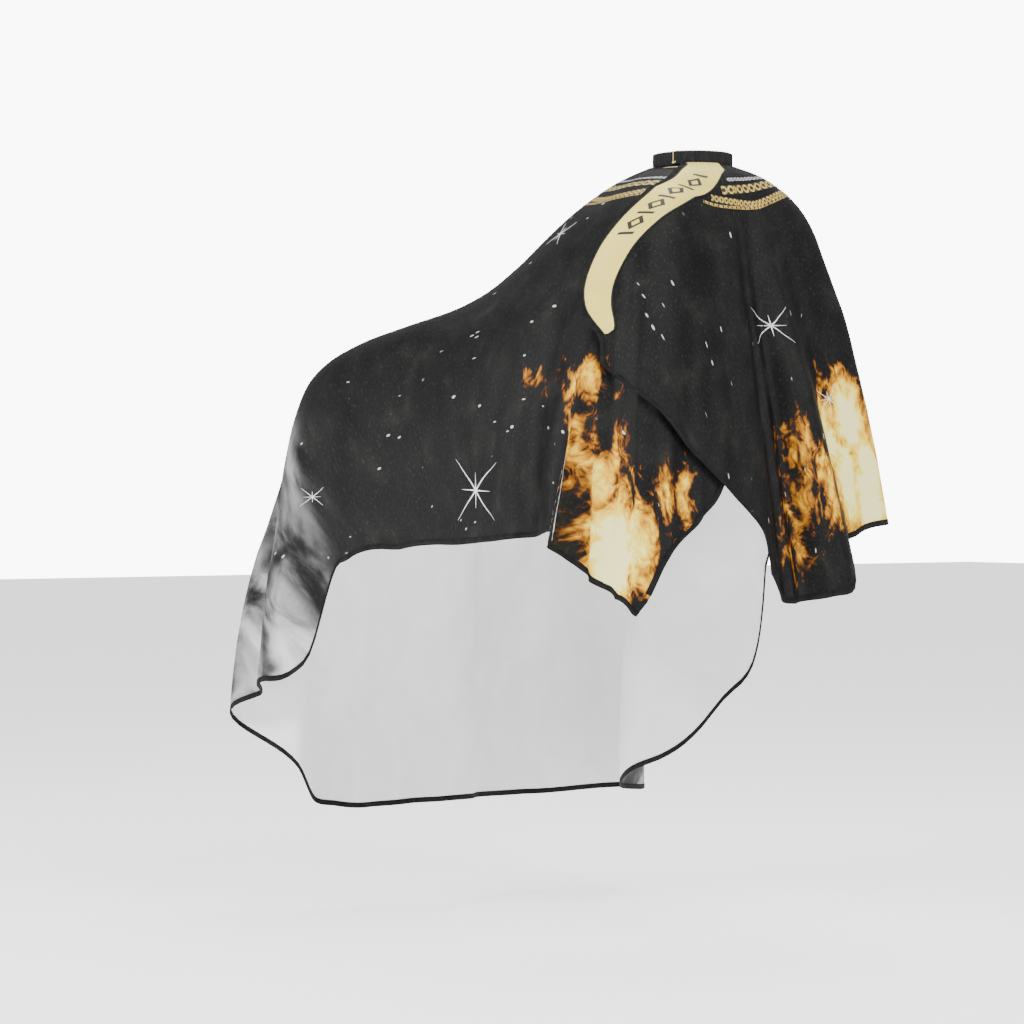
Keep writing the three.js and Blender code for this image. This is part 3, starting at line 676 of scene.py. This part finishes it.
SMOKE = [
    (151, 880, 5, 60, 0.8), (149, 1000, 6, 90, 0.9), (148, 1130, 9, 100, 1.5), (153, 1200, 12, 130, 2.0),
    (165, 1260, 16, 190, 1.9), (181, 1300, 20, 150, 1.7), (200, 1290, 19, 180, 1.7), (185, 960, 20, 90, 0.7),
    (222, 1180, 12, 150, 1.4), (232, 900, 6, 120, 0.7),
]


def glow(spots, bearing, distance):
    total = np.zeros(len(bearing))
    for at, far, half_width, half_length, strength in spots:
        turns = np.round((bearing - at) / 360)
        a = (bearing - at - turns * 360) / half_width
        d = (distance - far) / half_length
        total = np.maximum(total, strength * np.exp(-(a**2) - d**2))
    return total


PRINT_REACH = 350  # distance from the neck's axis at which the hanging map is true to size


def print_maps(bearing, distance):
    b, d = bearing.ravel(), distance.ravel()
    hanging = np.stack([np.radians(b) * PRINT_REACH, d], axis=1)
    maps = {"flat": flat_place(b, d), "hanging": hanging}
    return maps, {"fire_glow": glow(FLAMES, b, d), "smoke_glow": glow(SMOKE, b, d)}


def spread(*runs):
    """Bearings in runs of (from, to, count), each run starting where the last one ended."""
    parts = [np.linspace(low, high, count, endpoint=False) for low, high, count in runs]
    return np.concatenate(parts + [[runs[-1][1]]])


starts = spread(
    (UNDERLAP_BEARING, 95, 84), (95, 137, 32), (137, 172, 74),
    (172, 206, 42), (206, 236, 44), (236, HINGE_BEARING, 64),
)
lean_share = np.maximum(0, (UNDERLAP_LEAN_END - starts) / (UNDERLAP_LEAN_END - UNDERLAP_BEARING))
underlap_corner = UNDERLAP_EDGE[-1][0]
ends = starts + (along(UNDERLAP_EDGE, underlap_corner)[0] - UNDERLAP_BEARING) * lean_share
root_line = lines_down(line_at(ends, along(HEM, ends)), 76, 54)
edge_bearing = along(UNDERLAP_EDGE, np.minimum(root_line, underlap_corner).ravel())
lean = edge_bearing.reshape(root_line.shape) - UNDERLAP_BEARING
root_bearing = starts[:, None] + lean * lean_share[:, None]
root_inset = under_inset(root_bearing, root_line)
root_point, root_normal, root_distance = cloth(root_bearing, root_line, root_inset)
maps, masks = print_maps(root_bearing, root_distance)
cape_cloth = sheet_mesh("cape_cloth", root_point, root_normal, CLOTH, (PRINTED, REVERSE), maps, masks)

shares = np.linspace(0, 1, 84)
flap_corner = FLAP_EDGE[-1][0]
flap_ends = HINGE_BEARING + shares * (along(FLAP_EDGE, flap_corner)[0] - HINGE_BEARING)
flap_line = lines_down(line_at(flap_ends, along(FLAP_HEM, flap_ends)), 96, 40)
edge_bearing = along(FLAP_EDGE, np.minimum(flap_line, flap_corner).ravel())
flap_reach = edge_bearing.reshape(flap_line.shape) - HINGE_BEARING
flap_bearing = HINGE_BEARING + shares[:, None] * flap_reach
flap_point, flap_normal, flap_distance = cloth(flap_bearing, flap_line, np.zeros(flap_line.shape))
maps, masks = print_maps(flap_bearing, flap_distance)
flap_cloth = sheet_mesh("flap_cloth", flap_point, flap_normal, CLOTH, (PRINTED, REVERSE), maps, masks)

# ---------- bindings ----------

# the folded tape's outline as (above the cloth, past its edge), with the cloth's slot last
BINDING_FORM = np.array(
    [
        (0.15, -8.6), (0.75, -8.3), (0.95, -6), (0.8, -3), (0.95, -0.6), (0.5, 0.8), (-0.4, 1.1), (-1.3, 0.8),
        (-1.75, -0.6), (-1.6, -3), (-1.75, -6), (-1.55, -8.3), (-0.95, -8.6), (-0.9, 0.1), (0.1, 0.1),
    ]
)


def binding(name, point, normal, inner):
    """Folded tape round an edge, given the edge's points and directions and the points one step inside it."""
    away = point - inner
    away = unit(away - normal * np.sum(away * normal, axis=1)[:, None])
    rise, reach = BINDING_FORM[None, :, :1], BINDING_FORM[None, :, 1:]
    rings = point[:, None] + normal[:, None] * rise + away[:, None] * reach
    around_form = run_length(BINDING_FORM[:13])
    across = np.concatenate([around_form, [around_form[-1] + 9, around_form[-1] + 10]])
    lengthways = run_length(point)
    tape = np.stack(np.broadcast_arrays(lengthways[:, None], across[None, :]), axis=-1).reshape(-1, 2)
    return tube_mesh(name, rings, (BINDING,), {"tape": tape})


hem_binding = binding("hem_binding_tape", root_point[:, -1], root_normal[:, -1], root_point[:, -3])
flap_hem_binding = binding("flap_hem_binding_tape", flap_point[:, -1], flap_normal[:, -1], flap_point[:, -3])
underlap_binding = binding("underlap_binding_tape", root_point[0, :-3], root_normal[0, :-3], root_point[2, :-3])
flap_binding = binding("flap_binding_tape", flap_point[-1, 2:-3], flap_normal[-1, 2:-3], flap_point[-3, 2:-3])

# ---------- sash ----------

SASH_LENGTH_LINE = 3.5
SASH_SIDE = 11.5
SASH_WIDTH = 70
SASH_POINT = 5
SASH_STEPS = 22
TRIM_WIDTH = 2.4

sash_rows = np.nonzero(flap_line[-1] <= SASH_LENGTH_LINE)[0]


def in_from_edge(row, distances):
    """Points and directions on a row of the flap at these distances from its free edge."""
    points, normals = flap_point[::-1, row], flap_normal[::-1, row]
    run = run_length(points)
    at = np.minimum(distances, run[-1] - 0.5)

    def pick(rows):
        return np.stack([np.interp(at, run, rows[:, k]) for k in range(3)], axis=1)

    return pick(points), unit(pick(normals))


def strip_on_flap(near, far, steps, lift):
    """A grid on the flap between two distances from its free edge, row by row, a little above the cloth."""
    columns = [in_from_edge(row, np.linspace(far[k], near[k], steps)) for k, row in enumerate(sash_rows)]
    point = np.stack([c[0] for c in columns], axis=1)
    normal = np.stack([c[1] for c in columns], axis=1)
    return point + normal * lift, normal


row_lengths = np.array([run_length(flap_point[::-1, row])[-1] for row in sash_rows])
sash_share = (flap_line[-1][sash_rows] / SASH_LENGTH_LINE) ** 1.15
sash_width = SASH_POINT + (SASH_WIDTH - SASH_POINT) * np.sqrt(np.maximum(0, 1 - sash_share**3))
sash_near = np.full(len(sash_rows), float(SASH_SIDE)) - 6 * (1 - ramp(0, 0.4, flap_line[-1][sash_rows]))
sash_far = np.minimum(sash_near + sash_width, row_lengths - TRIM_WIDTH - 0.8)
sash_point, sash_normal = strip_on_flap(sash_near, sash_far, SASH_STEPS, 1.1)
middle_run = run_length(sash_point[SASH_STEPS // 2])
across = np.linspace(1, -1, SASH_STEPS)[:, None] * (sash_far - sash_near)[None, :] / 2
tape = np.stack([np.broadcast_to(middle_run[None, :], across.shape), across], axis=-1).reshape(-1, 2)
sash_panel = sheet_mesh("sash_cloth", sash_point, sash_normal, 0.7, (SATIN,), {"tape": tape})

TRIM_FORM = np.array([(math.sin(a), math.cos(a)) for a in np.linspace(0, 2 * math.pi, 10, endpoint=False)])


def trim_cord(name, distances):
    rings = []
    for k, row in enumerate(sash_rows):
        point, normal = in_from_edge(row, np.array([distances[k], distances[k] + 1.0]))
        side = unit(point[1] - point[0])
        form = TRIM_FORM * (0.95, TRIM_WIDTH / 2)
        rings.append(point[0] + normal[0] * (form[:, :1] + 0.85) + side * form[:, 1:])
    return tube_mesh(name, np.array(rings), (TRIM,))


outer_trim = trim_cord("sash_outer_cord", sash_near - TRIM_WIDTH / 2)
inner_trim = trim_cord("sash_inner_cord", sash_far + TRIM_WIDTH / 2 - 0.4)

# ---------- neck band ----------

BAND_HEIGHT = 19
# each layer's depth inside the band and its thickness
LAYERS = {"band": (0.0, 1.2), "elastic": (1.5, 1.0), "lining": (2.8, 0.7), "tape": (3.8, 0.6)}


def neck_radius(bearing, on_flap):
    return np.full(len(bearing), float(NECK_RADIUS)) if on_flap else NECK_RADIUS - lap_step(bearing)


def collar(name, span, layer, low, high, material, on_flap, gathers=0.0):
    """One layer of the neck band between two bearings: a ring of tape with gathers round it."""
    depth, wall = LAYERS[layer]
    bearing = np.linspace(*span, max(12, int((span[1] - span[0]) / 0.6)))
    share = np.linspace(0, 1, 9)
    bulge = 0.35 * np.sin(math.pi * share)
    ribs = np.sin(np.radians(bearing) * 96) + 0.5 * np.sin(np.radians(bearing) * 67 + 2)
    squeeze = 0.35 + 0.65 * np.abs(np.cos(math.pi * share))
    wavy = 0.35 * np.sin(np.radians(bearing) * 54)[:, None] * share
    radius = (neck_radius(bearing, on_flap) - depth)[:, None] + bulge * (gathers > 0)
    radius = radius + gathers * ribs[:, None] * squeeze
    height = low + (high - low) * share + (gathers > 0) * wavy
    angle = np.radians(bearing)[:, None]
    point = np.stack([radius * np.sin(angle), radius * np.cos(angle), height], axis=-1)[:, ::-1]
    flat_angle = np.broadcast_to(angle, radius.shape)
    normal = np.stack([np.sin(flat_angle), np.cos(flat_angle), np.zeros(radius.shape)], axis=-1)
    run = np.broadcast_to((angle * NECK_RADIUS), radius.shape)
    tape = np.stack([run, height[:, ::-1] - low], axis=-1).reshape(-1, 2)
    return sheet_mesh(name, point, normal, wall, (material,), {"tape": tape})


def collar_set(prefix, span, on_flap, with_inside=True):
    top = BAND_HEIGHT
    parts = {
        "band": collar(prefix + "_band_cloth", span, "band", -0.6, top + 0.4, BAND, on_flap, 0.3),
        "lining": collar(prefix + "_lining_cloth", span, "lining", 0.4, top + 1.8, LINING, on_flap),
    }
    if with_inside:
        parts["elastic"] = collar(prefix + "_elastic_tape", span, "elastic", 3, 16.4, ELASTIC, on_flap)
        parts["tape"] = collar(prefix + "_seam_tape_cloth", span, "tape", -3.6, 2.4, TAPE, on_flap)
    return parts


neck = collar_set("neck", (UNDERLAP_BEARING, HINGE_BEARING), False)
flap_neck = collar_set("flap", (HINGE_BEARING, FLAP_BEARING), True)
tab = collar_set("tab", (FLAP_BEARING, TAB_END_BEARING), True, with_inside=False)

# ---------- printed chains and stars ----------

YOKE_LINES = np.linspace(0, 2, 60)
YOKE_DISTANCES = profile(np.full(60, 20.0), YOKE_LINES)[2]


def ribbon(name, low, high, distance, width, material, inset_of, swing=0.0, lift=0.35):
    """A printed band round the neck, between two bearings, at a distance from the seam."""
    bearing = np.linspace(low, high, max(10, int((high - low) / 0.8)))
    sway = distance + swing * np.sin(np.radians(bearing) * 3)
    line = np.interp(sway, YOKE_DISTANCES, YOKE_LINES)
    point, normal, _ = cloth(bearing, line, inset_of(bearing, line) - lift)
    side = unit(np.cross(normal, np.gradient(point, axis=0)))
    shares_across = np.array([1, 0.33, -0.33, -1]) * width / 2
    grid = point[:, None] + side[:, None] * shares_across[None, :, None]
    run = run_length(point)
    tape = np.stack(np.broadcast_arrays(run[:, None], shares_across[None, :]), axis=-1).reshape(-1, 2)
    return sheet_mesh(name, grid, np.repeat(normal[:, None], 4, axis=1), 0.25, (material,), {"tape": tape})


# name, distance from the neck, width, print, sway
CHAINS = [
    ("silver_chain_print", 40, 7.5, SILVER, 4), ("gold_chain_print", 58, 16, GOLD, 4),
    ("rope_chain_print", 79, 12.5, FINE_GOLD, -3), ("thin_chain_print", 93, 5, FINE_GOLD, -3),
]
cape_chains = [ribbon(n, 20, HINGE_BEARING, d, w, m, under_inset, s) for n, d, w, m, s in CHAINS]


def sash_side_bearing(distance):
    """Bearing of the sash's inner side at this distance from the neck."""
    row = sash_rows[np.argmin(np.abs(flap_distance[-1][sash_rows] - distance))]
    run = run_length(flap_point[::-1, row])
    return float(np.interp(sash_far[row] + TRIM_WIDTH, run, flap_bearing[::-1, row]))


flap_chains = [
    ribbon("flap_" + n, HINGE_BEARING, sash_side_bearing(d), d, w, m, no_inset, s)
    for n, d, w, m, s in CHAINS
    if sash_side_bearing(d) > HINGE_BEARING + 2
]

FAR_LINES = np.linspace(0, 5.8, 120)
STAR_RAYS = ((48, 1.0), (93, 0.42), (135, 0.95), (182, 0.5))  # turn and share of the size
RAY_STEPS = 17


def star(name, bearing, distance, size):
    """An eight-rayed star printed on the cloth: four thin bars that taper to both ends."""
    far_distances = profile(np.full(len(FAR_LINES), float(bearing)), FAR_LINES)[2]
    share = np.linspace(-1, 1, RAY_STEPS)[:, None]
    side = np.array([-1, 1])[None, :]
    half_width = 0.15 + size * 0.019 * (1 - np.abs(share))
    vertices, faces = [], []
    for turn, reach in STAR_RAYS:
        way = math.radians(turn)
        across = reach * size * share * math.cos(way) - side * half_width * math.sin(way)
        down = reach * size * share * math.sin(way) + side * half_width * math.cos(way)
        lines = np.interp(distance + down.ravel(), far_distances, FAR_LINES)
        wide_out = profile(np.full(len(lines), float(bearing)), lines)[0]
        bearings = bearing + np.degrees(across.ravel() / wide_out)
        point, normal, _ = cloth(bearings, lines, under_inset(bearings, lines) - 0.4)
        top = len(vertices)
        under = top + len(point)
        vertices += [*point, *(point - normal * 0.3)]
        last = 2 * (RAY_STEPS - 1)
        for k in range(0, last, 2):
            a, b = top + k, under + k
            faces += [(a, a + 1, a + 3, a + 2), (b, b + 2, b + 3, b + 1)]
            faces += [(a, a + 2, b + 2, b), (a + 3, a + 1, b + 1, b + 3)]
        faces.append((top, under, under + 1, top + 1))
        faces.append((top + last, top + last + 1, under + last + 1, under + last))
    piece = build(name, vertices, faces, (STAR,))
    bpy.ops.object.mode_set(mode="EDIT")
    bpy.ops.mesh.select_all(action="SELECT")
    bpy.ops.mesh.normals_make_consistent(inside=False)
    bpy.ops.object.mode_set(mode="OBJECT")
    return piece


# bearing, distance from the neck, longest ray
STARS = [
    (110.8, 640, 66), (116, 192, 34), (349.4, 283, 42), (145.5, 859, 20), (323, 422, 30), (250, 560, 50),
    (205, 380, 34),
]
stars = [star(f"star_print_{number}", *place) for number, place in enumerate(STARS, 1)]

# ---------- what stands for what, and how it moves ----------

for piece, slot_name, node in (
    (cape_cloth, "printed_cloth", "cape_sheet"),
    (hem_binding, "binding", "hem_binding"),
    (underlap_binding, "binding", "underlap_edge_binding"),
    (neck["band"], "band_cloth", "neck_band"),
    (neck["lining"], "lining", "neck_lining"),
    (neck["elastic"], "elastic", "neck_elastic"),
    (neck["tape"], "binding", "neck_seam_tape"),
):
    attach(piece, "cape")
    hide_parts(node)
for piece in cape_chains + stars:
    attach(piece, "cape")
for piece in flap_chains:
    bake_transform(piece)

for piece, slot_name, node in (
    (flap_cloth, "printed_cloth", "closure_flap"),
    (flap_hem_binding, "binding", "flap_hem_binding"),
    (flap_binding, "binding", "flap_edge_binding"),
    (sash_panel, "sash_cloth", "sash_panel"),
    (outer_trim, "binding", "sash_outer_trim"),
    (inner_trim, "binding", "sash_inner_trim"),
    (flap_neck["band"], "band_cloth", "flap_band"),
    (flap_neck["lining"], "lining", "flap_lining"),
    (flap_neck["elastic"], "elastic", "flap_elastic"),
    (flap_neck["tape"], "binding", "flap_seam_tape"),
):
    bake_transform(piece)
    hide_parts(node)

for piece, slot_name, node in (
    (tab["band"], "band_cloth", "tab_band"),
    (tab["lining"], "lining", "tab_lining"),
):
    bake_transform(piece)
    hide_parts(node)

for node, material in (("tab_end_piping", PIPING), ("hook_patch", HOOK), ("loop_patch", HOOK)):
    for material_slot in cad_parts[node].material_slots:
        material_slot.material = material

# ---------- floor, light and camera ----------

FLOOR = -1.262
bpy.ops.mesh.primitive_plane_add(size=40, location=(0, 0, FLOOR))
floor = bpy.context.object
floor.name = "floor"
pale, tree, shader = fabric("pale floor", roughness=0.85, specular=0.1)
paling = noise(tree, shader_node(tree, "TexCoord", output=3), 2, 3)
tree.links.new(graded(tree, paling, [(0.3, grey(0.9)), (0.7, grey(0.93))]), shader.inputs["Base Color"])
shader.inputs["Emission Color"].default_value = (1, 1, 1, 1)
shader.inputs["Emission Strength"].default_value = 1.3
floor.data.materials.append(pale)


def softbox(name, place, aim, size, power):
    data = bpy.data.lights.new(name, "AREA")
    data.shape = "SQUARE"
    data.size = size
    data.energy = power
    light = bpy.data.objects.new(name, data)
    bpy.context.scene.collection.objects.link(light)
    from_place = np.array(place)
    way = np.array(aim) - from_place
    light.location = place
    light.rotation_euler = (math.atan2(math.hypot(way[0], way[1]), -way[2]), 0, math.atan2(-way[0], way[1]))


softbox("key light", (0.4, 3.6, 2.6), (0, 0, -0.5), 1.8, 190)
softbox("side light", (3.8, -0.6, 1.0), (0, 0, -0.5), 1.2, 150)
softbox("top light", (-0.8, -0.6, 3.2), (0, 0, -0.4), 2.4, 120)

world = bpy.data.worlds.new("studio")
bpy.context.scene.world = world
world.use_nodes = True
backdrop = world.node_tree.nodes["Background"]
backdrop.inputs[0].default_value = (1, 1, 1, 1)
tree = world.node_tree
brightness = plus(tree, times(tree, shader_node(tree, "LightPath"), 9), 0.5)
tree.links.new(brightness, backdrop.inputs[1])

camera_data = bpy.data.cameras.new("camera")
camera_data.lens = 112.5
camera_data.sensor_width = 36
camera_data.shift_y = -0.0215
camera = bpy.data.objects.new("camera", camera_data)
camera.location = (3.2687, 4.0039, -0.521)
camera.rotation_euler = (math.radians(90), 0, math.radians(144))
bpy.context.scene.collection.objects.link(camera)
bpy.context.scene.camera = camera
